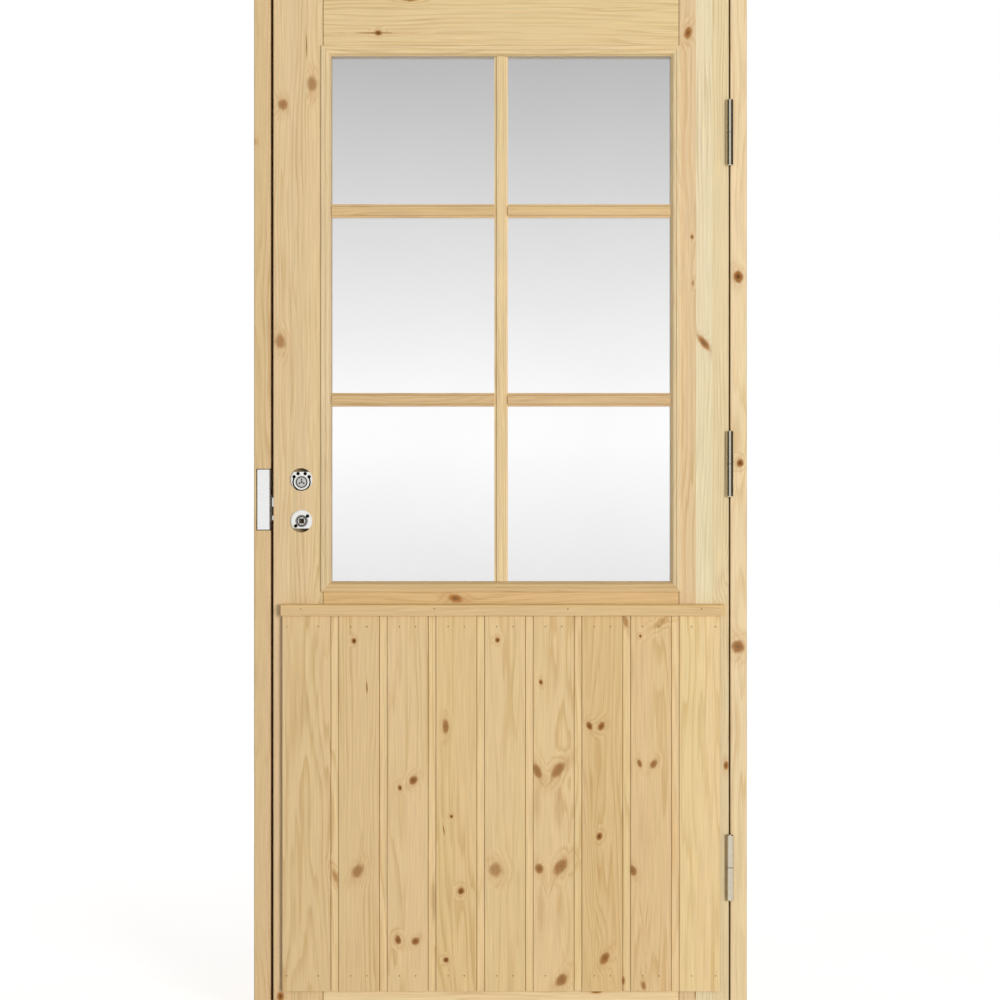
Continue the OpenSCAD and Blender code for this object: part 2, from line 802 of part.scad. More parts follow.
module handle_bolt_holes() {
  for (a = [handle_bolt_turn, handle_bolt_turn + 180])
    case_bore(handle_x + handle_bolt_r * cos(a), handle_z + handle_bolt_r * sin(a), handle_bolt_d);
}

// Windows for both bolts, through the case's front wall and the forend
module bolt_windows() {
  for (b = [[latch_z, latch_h, bolt_t], [trigger_z, trigger_h, trigger_t]])
    block([leaf_x0 - e, mid_y - b[2] / 2 - play / 2, b[0] - b[1] / 2 - play / 2],
          [case_x0 + case_wall + e, mid_y + b[2] / 2 + play / 2, b[0] + b[1] / 2 + play / 2]);
}

module lock_forend() {
  color(steel) difference() {
    block([leaf_x0, mid_y - forend_w / 2, forend_cz - forend_l / 2],
          [leaf_x0 + forend_t, mid_y + forend_w / 2, forend_cz + forend_l / 2]);
    bolt_windows();
    each_forend_screw() screw(screw_d, screw_head_d, screw_l, snug);
  }
}

// An open tray behind the cover, with a web that the trigger's spring bears on
module lock_case() {
  inner_y = case_y0 + case_wall;
  color(steel) difference() {
    union() {
      difference() {
        block([case_x0, inner_y, case_z0], [case_x1, case_y1, case_z1]);
        block([case_x0 + case_wall, inner_y - e, case_z0 + case_wall],
              [case_x1 - case_wall, case_y1 - case_wall, case_z1 - case_wall]);
      }
      block([trigger_stop_x, inner_y + play, trigger_z - trigger_h / 2],
            [trigger_stop_x + case_wall, case_y1 - case_wall + e, trigger_z + trigger_h / 2]);
    }
    bolt_windows();
    case_bore(handle_x, handle_z, 2 * (follower_r + pin_fit));
    case_bore(handle_x, driver_z, 2 * (driver_r + pin_fit));
    handle_bolt_holes();
  }
}

// The window that leaves the driver's collar standing clear, from one outer pick hole round to the other
module collar_window() {
  reach = 2 * collar_window_r;
  translate([handle_x, 0, driver_z]) along_y(case_y0 - e, case_y0 + case_wall + e) difference() {
    intersection() {
      circle(collar_window_r);
      polygon([[0, 0], [-reach * cos(30), reach * sin(30)], [-reach, -reach], [reach, -reach],
               [reach * cos(30), reach * sin(30)]]);
    }
    circle(boss_r + 0.4);
  }
}

module lock_cover() {
  color(steel) difference() {
    union() {
      block([case_x0, case_y0, case_z0], [case_x1, case_y0 + case_wall, case_z1]);
      translate([handle_x, case_y0 + e, driver_z]) rotate([90, 0, 0]) cylinder(h = boss_h + e, r = boss_r);
    }
    case_bore(handle_x, handle_z, 2 * (follower_r + pin_fit));
    case_bore(handle_x, driver_z, 2 * (driver_r + pin_fit));
    handle_bolt_holes();
    collar_window();
    for (a = pick_angles)
      translate([handle_x + pick_hole_r * cos(a), case_y0 + case_wall + e, driver_z + pick_hole_r * sin(a)])
        rotate([90, 0, 0]) cylinder(h = case_wall + boss_h + 2 * e, d = pick_hole_d);
  }
}

// The latch is drawn back: its nose stands just proud of the forend. The tail reaches
// down to the follower's arm, which works in its slot.
module latch_bolt() {
  bevel = 8;
  nose_x = leaf_x0 - nose_out;
  color(steel) difference() {
    union() {
      block([nose_x, mid_y - bolt_t / 2, latch_z - latch_h / 2],
            [tail_x1, mid_y + bolt_t / 2, latch_z + latch_h / 2]);
      block([slot_x - 14, mid_y - bolt_t / 2, tail_z0], [tail_x1, mid_y + bolt_t / 2, latch_z]);
    }
    translate([nose_x, mid_y + bolt_t / 2, latch_z - latch_h]) linear_extrude(2 * latch_h)
      polygon([[-e, e], [bevel, e], [-e, -bevel]]);
    block([slot_x - arm_tip_r - play, mid_y - arm_t / 2 - play, tail_z0 - e],
          [slot_x + arm_tip_r + play, mid_y + arm_t / 2 + play, handle_z + arm_r + arm_tip_r + play]);
  }
}

module trigger_bolt() {
  nose_x = leaf_x0 - nose_out;
  color(steel) difference() {
    block([nose_x, mid_y - trigger_t / 2, trigger_z - trigger_h / 2],
          [trigger_x1, mid_y + trigger_t / 2, trigger_z + trigger_h / 2]);
    translate([nose_x, mid_y + trigger_t / 2, trigger_z - trigger_h]) linear_extrude(2 * trigger_h)
      polygon([[-e, e], [trigger_t / 2, e], [-e, -trigger_t / 2]]);
  }
}

// A round-wire compression spring along X, between x0 and x1
module coil_spring(x0, x1, r, turns, y, z) {
  sides = 6;
  steps = 12;
  n = turns * steps;
  w = spring_wire;
  points = [for (i = [0 : n], k = [0 : sides - 1])
    let (a = 360 * i / steps, b = 360 * k / sides, q = r + w * sin(b))
    [x0 + w + (x1 - x0 - 2 * w) * i / n + w * cos(b), y + q * cos(a), z + q * sin(a)]];
  walls = [for (i = [0 : n - 1], k = [0 : sides - 1]) let (m = (k + 1) % sides)
    [i * sides + k, i * sides + m, (i + 1) * sides + m, (i + 1) * sides + k]];
  caps = [[for (k = [sides - 1 : -1 : 0]) k], [for (k = [0 : sides - 1]) n * sides + k]];
  color(dark_steel) polyhedron(points, concat(walls, caps));
}

module latch_spring() {
  coil_spring(tail_x1 + snug, case_x1 - case_wall - snug, latch_spring_r, 6, mid_y, latch_z);
}

module trigger_spring() {
  coil_spring(trigger_x1 + snug, trigger_stop_x - snug, trigger_spring_r, 6, mid_y, trigger_z);
}

// The follower turns in both walls of the case. Its arm leans inwards while the latch is drawn back.
module handle_follower() {
  groove = 5;
  color(steel) translate([handle_x, mid_y, handle_z]) rotate([90, 0, 0]) difference() {
    union() {
      cylinder(h = case_t, r = follower_r, center = true);
      cylinder(h = case_t - 2 * case_wall - 2 * play, r = flange_r, center = true);
      rotate([0, 0, -arm_turn]) {
        translate([-arm_w / 2, 0, -arm_t / 2]) cube([arm_w, arm_r, arm_t]);
        translate([0, arm_r, 0]) cylinder(h = arm_t, r = arm_tip_r, center = true);
      }
    }
    cube([spindle_s, spindle_s, case_t + 2], center = true);
    translate([0, 0, case_t / 2 - groove]) difference() {
      cylinder(h = groove + e, r = follower_r - 0.8);
      translate([0, 0, -e]) cylinder(h = groove + 3 * e, r = spindle_s / sqrt(2) + 0.8);
    }
  }
}

// The driver takes a lock cylinder's tail in its slots and carries a cam over the latch's tail
module cylinder_driver() {
  recess = 4;
  color(steel) translate([handle_x, mid_y, driver_z]) rotate([90, 0, 0]) difference() {
    union() {
      cylinder(h = case_t, r = driver_r, center = true);
      cylinder(h = case_t - 2 * case_wall - 2 * play, r = driver_r + 1, center = true);
      translate([-3, -cam_r, -arm_t / 2]) cube([6, cam_r, arm_t]);
    }
    translate([0, 0, case_t / 2 - recess]) difference() {
      cylinder(h = recess + e, r = driver_r - 1.2);
      translate([0, 0, -e]) cylinder(h = recess + 3 * e, r = driver_r - 3);
    }
    for (a = [0, 120, 240]) rotate([0, 0, a]) translate([-1.1, 2.4, -case_t]) cube([2.2, 3.8, 2 * case_t]);
    cube([3, 3, 2 * case_t], center = true);
  }
}

lock_jamb();
hinge_jamb();
head_jamb();
threshold();
weather_seal();
frame_corner_screws();
strike_plate();
hinge_pins();
hinge_washers();
frame_hardware_screws();
for (k = [0 : len(hinge_names) - 1]) {
  hinge_flag(hinge_z[k], 1);
  hinge_flag(hinge_z[k], -1);
}
leaf_hardware_screws();
lock_stile();
hinge_stile();
rail(leaf_z1 - top_rail_h, leaf_z1);  // top_rail
rail(light_z0 - middle_rail_h, light_z0);  // middle_rail
rail(leaf_z0, leaf_z0 + bottom_rail_h);  // bottom_rail
rail_dowels();
pane(face_y + bead_d);  // outer_pane
pane(face_y + bead_d + pane_t + pane_space);  // inner_pane
pane_spacer();
setting_blocks();
for (side = ["top", "bottom", "lock_side", "hinge_side"]) {
  outer_bead(side);
  inner_bead(side);
}
glazing_bar_upright();
glazing_bar_cross(upper_bar_z);  // glazing_bar_upper
glazing_bar_cross(lower_bar_z);  // glazing_bar_lower
for (i = [1 : board_count])
  cladding_board(i);
drip_rail();
cladding_nails();
insulation_core();
lining_boards();
lock_case();
lock_cover();
lock_forend();
latch_bolt();
latch_spring();
trigger_bolt();
trigger_spring();
handle_follower();
cylinder_driver();
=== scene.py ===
from math import cos, radians, sin

import bmesh
import bpy
from mathutils import Matrix, Vector


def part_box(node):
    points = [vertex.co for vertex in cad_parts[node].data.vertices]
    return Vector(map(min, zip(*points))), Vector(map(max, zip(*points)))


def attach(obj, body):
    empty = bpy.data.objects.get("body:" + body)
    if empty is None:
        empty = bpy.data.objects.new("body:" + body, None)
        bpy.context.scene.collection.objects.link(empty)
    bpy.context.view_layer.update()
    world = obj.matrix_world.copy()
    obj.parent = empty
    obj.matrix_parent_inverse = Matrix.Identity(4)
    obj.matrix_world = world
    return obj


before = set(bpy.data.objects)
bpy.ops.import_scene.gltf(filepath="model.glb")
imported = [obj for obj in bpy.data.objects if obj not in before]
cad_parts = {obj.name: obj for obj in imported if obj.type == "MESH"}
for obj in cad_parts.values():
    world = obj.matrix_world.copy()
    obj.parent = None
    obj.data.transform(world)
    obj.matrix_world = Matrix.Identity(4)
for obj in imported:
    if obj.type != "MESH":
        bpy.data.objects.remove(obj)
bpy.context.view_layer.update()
scene = bpy.context.scene
scene.view_settings.view_transform = "Standard"

# Camera
# It stands square to the door, 5 m in front of the leaf and level with its middle,
# and takes in a square of 1.805 m, so the head and the threshold run out of the picture.
MM = 0.001
VIEW_WIDTH = 1.805
VIEW_DISTANCE = 5.0
VIEW_CENTRE_X = -0.9 * MM
EYE_LEVEL = 0.945
SENSOR_WIDTH = 36
LEAF_FACE_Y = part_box("lock_stile")[0].y
camera = bpy.data.objects.new("camera", bpy.data.cameras.new("camera"))
camera.data.sensor_width = SENSOR_WIDTH
camera.data.lens = SENSOR_WIDTH * VIEW_DISTANCE / VIEW_WIDTH
camera.location = (VIEW_CENTRE_X, LEAF_FACE_Y - VIEW_DISTANCE, EYE_LEVEL)
camera.rotation_euler = (radians(90), 0, 0)
scene.collection.objects.link(camera)
scene.camera = camera

# Studio floor
# A pale painted floor, laid level under the threshold. It reads as white to the eye
# and in the metal and the glass, and keeps the shadow of the door.


def linear(hex_code):
    """The linear colour of an sRGB hex value."""
    channels = [int(hex_code[i:i + 2], 16) / 255 for i in (1, 3, 5)]
    return [c / 12.92 if c < 0.04045 else ((c + 0.055) / 1.055) ** 2.4 for c in channels] + [1]


def add(tree, kind, inputs=(), **settings):
    """Adds a node with its settings and inputs, and gives its first output in use.
    An input is a value or a socket."""
    node = tree.nodes.new(kind)
    for name, value in settings.items():
        setattr(node, name, value)
    for key, value in inputs.items() if isinstance(inputs, dict) else enumerate(inputs):
        if isinstance(value, bpy.types.NodeSocket):
            tree.links.new(value, node.inputs[key])
        else:
            node.inputs[key].default_value = value
    return next((socket for socket in node.outputs if socket.enabled), None)


def new_material(name):
    """An empty node material, with its Object coordinates in metres."""
    material = bpy.data.materials.new(name)
    material.use_nodes = True
    material.node_tree.nodes.clear()
    place = add(material.node_tree, "ShaderNodeTexCoord").node.outputs["Object"]
    return material, material.node_tree, place


FLOOR_SIZE = 9.0
FLOOR_DROP = 0.5 * MM
FLOOR_MOTTLE = 1 / 3
FLOOR_GLOW = 0.6
shape = bmesh.new()
bmesh.ops.create_grid(shape, x_segments=1, y_segments=1, size=FLOOR_SIZE / 2)
bmesh.ops.translate(shape, verts=shape.verts, vec=(0, 0, -FLOOR_DROP))
floor = bpy.data.objects.new("studio_floor", bpy.data.meshes.new("studio_floor"))
shape.to_mesh(floor.data)
shape.free()
scene.collection.objects.link(floor)
material, tree, place = new_material("painted_studio_floor")
mottle = add(tree, "ShaderNodeTexNoise", {"Vector": place, "Scale": 1 / FLOOR_MOTTLE, "Detail": 3})
paint = add(tree, "ShaderNodeMix", {0: mottle, 6: linear("#ebeae8"), 7: linear("#f4f3f1")}, data_type="RGBA")
lit = add(tree, "ShaderNodeBsdfDiffuse", {"Color": paint})
rays = add(tree, "ShaderNodeLightPath").node.outputs
seen = add(tree, "ShaderNodeMath", [rays["Is Camera Ray"], rays["Is Glossy Ray"]], operation="MAXIMUM")
seen = add(tree, "ShaderNodeMath", [seen, rays["Is Transmission Ray"]], operation="MAXIMUM")
share = add(tree, "ShaderNodeMath", [seen, FLOOR_GLOW], operation="MULTIPLY")
white = add(tree, "ShaderNodeEmission", {"Strength": share})
both = add(tree, "ShaderNodeAddShader", [lit, white])
add(tree, "ShaderNodeOutputMaterial", [both])
floor.data.materials.append(material)

# Studio light
# A soft panel in front, a little to the right and level with the eye, a weaker one behind, and a white room
# that gives less light from overhead. The room is darker to both sides in the metal, and a soft grey above
# and below through the glass.
PANELS = {"front_panel": ((3.0, -7.4, 1.3), 372), "back_panel": ((-3.0, 7.4, 1.6), 220)}
PANEL_SIZE = 2.4
PANEL_AIM = Vector((0, 0, 1.0))
for name, (location, energy) in PANELS.items():
    panel = bpy.data.objects.new(name, bpy.data.lights.new(name, "AREA"))
    panel.data.size = PANEL_SIZE
    panel.data.energy = energy
    panel.location = location
    panel.rotation_euler = (PANEL_AIM - panel.location).to_track_quat("-Z", "Y").to_euler()
    panel.visible_camera = panel.visible_glossy = panel.visible_transmission = False
    scene.collection.objects.link(panel)
# Each line gives where a change of brightness starts and ends, and the brightness at both.
ABOVE_GLASS = (0.03, 0.17, 1.03, 0.45)
BELOW_GLASS = (-0.035, 0.02, 0.80, 1.0)
BESIDE_METAL = (0.3, 0.65, 1.0, 0.05)
OVER_WOOD = (0.0, 0.9, 0.66, 0.22)
scene.world = bpy.data.worlds.new("white_room")
scene.world.use_nodes = True
tree = scene.world.node_tree
tree.nodes.clear()
ray = add(tree, "ShaderNodeTexCoord").node.outputs["Generated"]
ray = add(tree, "ShaderNodeSeparateXYZ", [ray]).node.outputs
rising = add(tree, "ShaderNodeMapRange", [ray["Z"], *ABOVE_GLASS])
falling = add(tree, "ShaderNodeMapRange", [ray["Z"], *BELOW_GLASS])
through_glass = add(tree, "ShaderNodeMath", [rising, falling], operation="MULTIPLY")
sideways = add(tree, "ShaderNodeMath", [ray["X"]], operation="ABSOLUTE")
in_metal = add(tree, "ShaderNodeMapRange", [sideways, *BESIDE_METAL])
on_wood = add(tree, "ShaderNodeMapRange", [ray["Z"], *OVER_WOOD])
rays = add(tree, "ShaderNodeLightPath").node.outputs
level = add(tree, "ShaderNodeMix", {0: rays["Is Camera Ray"], 2: on_wood, 3: 1.0})
level = add(tree, "ShaderNodeMix", {0: rays["Is Glossy Ray"], 2: level, 3: in_metal})
level = add(tree, "ShaderNodeMix", {0: rays["Is Transmission Ray"], 2: level, 3: through_glass})
room = add(tree, "ShaderNodeBackground", {"Color": (1, 1, 1, 1), "Strength": level})
add(tree, "ShaderNodeOutputWorld", [room])

# Frame
# Two jambs, a head and a stop cut in one, planed from knotty pine that was left untreated.
# The jambs run full height, and the head is screwed between them through their backs.

# A knot is a branch that the trunk grew around. It gives the eye a brown disc with a darker heart and rim,
# a warm halo along the grain, and growth rings that flow around it. Dead is 1 for an old branch with a black
# heart, 0 for a pale one, and below 0 for a soft brown streak with no heart. A knot's own half size is 1.
# Four numbers give where a change starts and ends, and the value at both. Two give a slope and its start.
KNOT_BUMPS = 11 * MM
KNOT_RAGGED = (0.25, 0.75, -0.12, 0.12)
EDGE_STARTS = (-1.0, 1.0, 0.1, 0.7)
EDGE_ENDS = 1.15
COVER_BY_DEAD = (0.6, 0.6)
STREAK_BY_DEAD = (0.25, 0.45)
HEART_FADES = (0.05, 0.75, 1, 0)
BARK_GROWS = (0.72, 0.95, 0, 0.35)
DARK_BY_DEAD = (0.9, 0.2)
KNOT_NOT_STREAK = (-0.6, 0.0, 0, 1)
RINGS_REACH = 1.2
HALO_STRETCH = (1, 0, 0.6)
HALO_STARTS, HALO_ENDS = 0.5, 2.1
BEND_FADES = (0.0, 3.4, 1, 0)
knot_tree = bpy.data.node_groups.new("grown_in_knot", "ShaderNodeTree")
KNOT_INPUTS = {"Place": "Vector", "Centre": "Vector", "Tilt": "Vector", "Reach": "Vector", "Dead": "Float",
               "Low": "Float", "High": "Float", "Flow": "Float", "Core": "Float", "Halo": "Float",
               "Heart": "Float", "Turns": "Float"}
for name, kind in KNOT_INPUTS.items():
    knot_tree.interface.new_socket(name, in_out="INPUT", socket_type="NodeSocket" + kind)
given = add(knot_tree, "NodeGroupInput").node.outputs
local = add(knot_tree, "ShaderNodeMapping", [given[n] for n in ("Place", "Centre", "Tilt", "Reach")],
            vector_type="TEXTURE")
local = add(knot_tree, "ShaderNodeVectorMath", [local, (1, 0, 1)], operation="MULTIPLY")
away = add(knot_tree, "ShaderNodeVectorMath", [local], operation="LENGTH")
ragged = add(knot_tree, "ShaderNodeTexNoise", {
    "Vector": given["Place"], "Scale": 1 / KNOT_BUMPS, "Detail": 2})
ragged = add(knot_tree, "ShaderNodeMapRange", [ragged, *KNOT_RAGGED])
rim = add(knot_tree, "ShaderNodeMath", [away, ragged], operation="ADD")
sharp = add(knot_tree, "ShaderNodeMapRange", [given["Dead"], *EDGE_STARTS])
edge = add(knot_tree, "ShaderNodeMapRange", [rim, sharp, EDGE_ENDS, 1, 0], interpolation_type="SMOOTHSTEP")
strength, faint, depth = (
    add(knot_tree, "ShaderNodeMath", [given["Dead"], *slope], operation="MULTIPLY_ADD", use_clamp=True)
    for slope in (COVER_BY_DEAD, STREAK_BY_DEAD, DARK_BY_DEAD))
strength = add(knot_tree, "ShaderNodeMath", [strength, faint], operation="MAXIMUM")
disc = add(knot_tree, "ShaderNodeMath", [edge, strength], operation="MULTIPLY")
core = add(knot_tree, "ShaderNodeMapRange", [rim, *HEART_FADES], interpolation_type="SMOOTHSTEP")
bark = add(knot_tree, "ShaderNodeMapRange", [rim, *BARK_GROWS], interpolation_type="SMOOTHSTEP")
core = add(knot_tree, "ShaderNodeMath", [core, bark], operation="MAXIMUM")
core = add(knot_tree, "ShaderNodeMath", [core, depth], operation="MULTIPLY")
warmth = add(knot_tree, "ShaderNodeMapRange", [given["Dead"], *KNOT_NOT_STREAK])
turn = add(knot_tree, "ShaderNodeMapRange", [rim, 0, RINGS_REACH, warmth, 0])
long = add(knot_tree, "ShaderNodeVectorMath", [local, HALO_STRETCH], operation="MULTIPLY")
long = add(knot_tree, "ShaderNodeVectorMath", [long], operation="LENGTH")
glow = add(knot_tree, "ShaderNodeMapRange", [long, HALO_STARTS, HALO_ENDS, warmth, 0],
           interpolation_type="SMOOTHSTEP")
bend = add(knot_tree, "ShaderNodeMapRange", [away, *BEND_FADES], interpolation_type="SMOOTHERSTEP")
across = add(knot_tree, "ShaderNodeSeparateXYZ", [given["Place"]])
above = add(knot_tree, "ShaderNodeMath", [across, given["Low"]], operation="GREATER_THAN")
below = add(knot_tree, "ShaderNodeMath", [across, given["High"]], operation="LESS_THAN")
inside = add(knot_tree, "ShaderNodeMath", [above, below], operation="MULTIPLY")
results = {}
for name, one, joined in (("Flow", bend, "ADD"), ("Core", disc, "MAXIMUM"), ("Halo", glow, "MAXIMUM"),
                          ("Heart", core, "MAXIMUM"), ("Turns", turn, "MAXIMUM")):
    knot_tree.interface.new_socket(name, in_out="OUTPUT", socket_type="NodeSocketFloat")
    one = add(knot_tree, "ShaderNodeMath", [one, inside], operation="MULTIPLY")
    results[name] = add(knot_tree, "ShaderNodeMath", [given[name], one], operation=joined)
add(knot_tree, "NodeGroupOutput", results)

# Planed pine is pale straw, with soft darker lines of latewood, fine fibres along it, and slow drifts from
# pinkish to yellow. The rings are drawn a few millimetres wider than real ones, so that they show.
# A mark is its size across and along the grain in millimetres, and its detail. A tint multiplies the tone.
PINE_MARKS = {"wander": (180, 650, 2), "ripple": (18, 160, 2), "uneven_years": (13, 420, 2),
              "uneven_lines": (45, 420, 1), "fibre": (2.0, 90, 3), "drift": (38, 900, 1),
              "patchy": (5, 16, 2)}
PITH_WANDERS = (0.03, 0.09, 0)
RING_RIPPLE = (0, 1, -0.002, 0.002)
RINGS_BY_KNOT = 1.7
UNEVEN_YEARS = 2.4
LATEWOOD_RISES = (0.35, 0.9, 0, 1)
LATEWOOD_DROPS = (0.87, 1.0, 1, 0)
LATEWOOD_FADES = (0.35, 0.65, 0.05, 0.72)
LATEWOOD_TINT = (0.80, 0.71, 0.56, 1)
PINKISH, YELLOWISH = (1.02, 1.01, 1.03, 1), (0.99, 1.01, 0.97, 1)
TINT_DRIFTS = (0.3, 0.7, 0, 1)
FIBRE_SHADES = (0.2, 0.8, 0.86, 1.14)
FIBRE_ROUGHNESS = (0.2, 0.8, 0.5, 0.68)
HALO_PATCHES = (0.3, 0.7, 0.05, 0.55)
KNOT_RINGS = 4.3
KNOT_RING_DARKENS = (0.3, 1.0, 0, 1)
LATEWOOD_RELIEF = 0.5
pine_tree = bpy.data.node_groups.new("planed_pine", "ShaderNodeTree")
PINE_INPUTS = {"Place": "Vector", "Pith": "Vector", "Shift": "Float", "Ring": "Float", "Flow": "Float",
               "Core": "Float", "Halo": "Float", "Heart": "Float", "Turns": "Float", "Tone": "Color"}
for name, kind in PINE_INPUTS.items():
    pine_tree.interface.new_socket(name, in_out="INPUT", socket_type="NodeSocket" + kind)
given = add(pine_tree, "NodeGroupInput").node.outputs
shift = add(pine_tree, "ShaderNodeCombineXYZ", [given["Shift"], 0.0, given["Shift"]])
moved = add(pine_tree, "ShaderNodeVectorMath", [given["Place"], shift], operation="ADD")
marks = {}
for name, (across, along, detail) in PINE_MARKS.items():
    size = (1 / (across * MM), 1 / (across * MM), 1 / (along * MM))
    stretched = add(pine_tree, "ShaderNodeVectorMath", [moved, size], operation="MULTIPLY")
    marks[name] = add(pine_tree, "ShaderNodeTexNoise", {"Vector": stretched, "Scale": 1.0, "Detail": detail})
wander = marks["wander"].node.outputs["Color"]
wander = add(pine_tree, "ShaderNodeVectorMath", [wander, (0.5, 0.5, 0.5)], operation="SUBTRACT")
wander = add(pine_tree, "ShaderNodeVectorMath", [wander, PITH_WANDERS], operation="MULTIPLY")
trunk = add(pine_tree, "ShaderNodeVectorMath", [given["Place"], given["Pith"]], operation="SUBTRACT")
trunk = add(pine_tree, "ShaderNodeVectorMath", [trunk, wander], operation="ADD")
trunk = add(pine_tree, "ShaderNodeVectorMath", [trunk, (1, 1, 0)], operation="MULTIPLY")
radius = add(pine_tree, "ShaderNodeVectorMath", [trunk], operation="LENGTH")
ripple = add(pine_tree, "ShaderNodeMapRange", [marks["ripple"], *RING_RIPPLE])
radius = add(pine_tree, "ShaderNodeMath", [radius, ripple], operation="ADD")
years = add(pine_tree, "ShaderNodeMath", [radius, given["Ring"]], operation="DIVIDE")
years = add(pine_tree, "ShaderNodeMath", [given["Flow"], RINGS_BY_KNOT, years], operation="MULTIPLY_ADD")
years = add(pine_tree, "ShaderNodeMath", [marks["uneven_years"], UNEVEN_YEARS, years],
            operation="MULTIPLY_ADD")
season = add(pine_tree, "ShaderNodeMath", [years], operation="FRACT")
rise = add(pine_tree, "ShaderNodeMapRange", [season, *LATEWOOD_RISES], interpolation_type="SMOOTHSTEP")
drop = add(pine_tree, "ShaderNodeMapRange", [season, *LATEWOOD_DROPS], interpolation_type="SMOOTHSTEP")
late = add(pine_tree, "ShaderNodeMath", [rise, drop], operation="MULTIPLY")
fade = add(pine_tree, "ShaderNodeMapRange", [marks["uneven_lines"], *LATEWOOD_FADES])
late = add(pine_tree, "ShaderNodeMath", [late, fade], operation="MULTIPLY")
drift = add(pine_tree, "ShaderNodeMapRange", [marks["drift"], *TINT_DRIFTS])
tint = add(pine_tree, "ShaderNodeMix", {0: drift, 6: PINKISH, 7: YELLOWISH}, data_type="RGBA")
line = add(pine_tree, "ShaderNodeMix", {0: late, 6: (1, 1, 1, 1), 7: LATEWOOD_TINT}, data_type="RGBA")
shade = add(pine_tree, "ShaderNodeMapRange", [marks["fibre"], *FIBRE_SHADES])
colour = given["Tone"]
for layer in (tint, line, shade):
    colour = add(pine_tree, "ShaderNodeMix", {0: 1.0, 6: colour, 7: layer}, data_type="RGBA",
                 blend_type="MULTIPLY")
patchy = add(pine_tree, "ShaderNodeMapRange", [marks["patchy"], *HALO_PATCHES])
warm = add(pine_tree, "ShaderNodeMath", [given["Halo"], patchy], operation="MULTIPLY")
colour = add(pine_tree, "ShaderNodeMix", {0: warm, 6: colour, 7: linear("#c49562")}, data_type="RGBA")
branch = add(pine_tree, "ShaderNodeMath", [given["Turns"], KNOT_RINGS], operation="MULTIPLY")
branch = add(pine_tree, "ShaderNodeMath", [branch], operation="FRACT")
branch = add(pine_tree, "ShaderNodeMapRange", [branch, *KNOT_RING_DARKENS], interpolation_type="SMOOTHSTEP")
wood = add(pine_tree, "ShaderNodeMix", {0: branch, 6: linear("#bb7d36"), 7: linear("#8f571b")},
           data_type="RGBA")
wood = add(pine_tree, "ShaderNodeMix", {0: given["Heart"], 6: wood, 7: linear("#35200a")}, data_type="RGBA")
colour = add(pine_tree, "ShaderNodeMix", {0: given["Core"], 6: colour, 7: wood}, data_type="RGBA")
rough = add(pine_tree, "ShaderNodeMapRange", [marks["fibre"], *FIBRE_ROUGHNESS])
relief = add(pine_tree, "ShaderNodeMath", [late, LATEWOOD_RELIEF, marks["fibre"]], operation="MULTIPLY_ADD")
results = {"Colour": colour, "Roughness": rough, "Relief": relief}
for name, kind in (("Colour", "Color"), ("Roughness", "Float"), ("Relief", "Float")):
    pine_tree.interface.new_socket(name, in_out="OUTPUT", socket_type="NodeSocket" + kind)
add(pine_tree, "NodeGroupOutput", results)


def wear(node, material):
    """Puts a material on a CAD node."""
    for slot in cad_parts[node].material_slots:
        slot.material = material


MATERIAL_STEP, LAMELLA_STEP = 1.7, 3.1
# Past the quirk's depth a board is painted darker: painted shade in its recesses.
STRIP_STARTS, QUIRK_STARTS, QUIRK_SHADE_TONE = 2.0 * MM, 3.3 * MM, "#94713f"
# A band this wide at a piece's top and end is painted lighter, as painted light.
PAINTED_LIGHT_BAND = 5.0 * MM
JOINT_LINE = 2.0 * MM
TONE_EDGE = 0.8 * MM


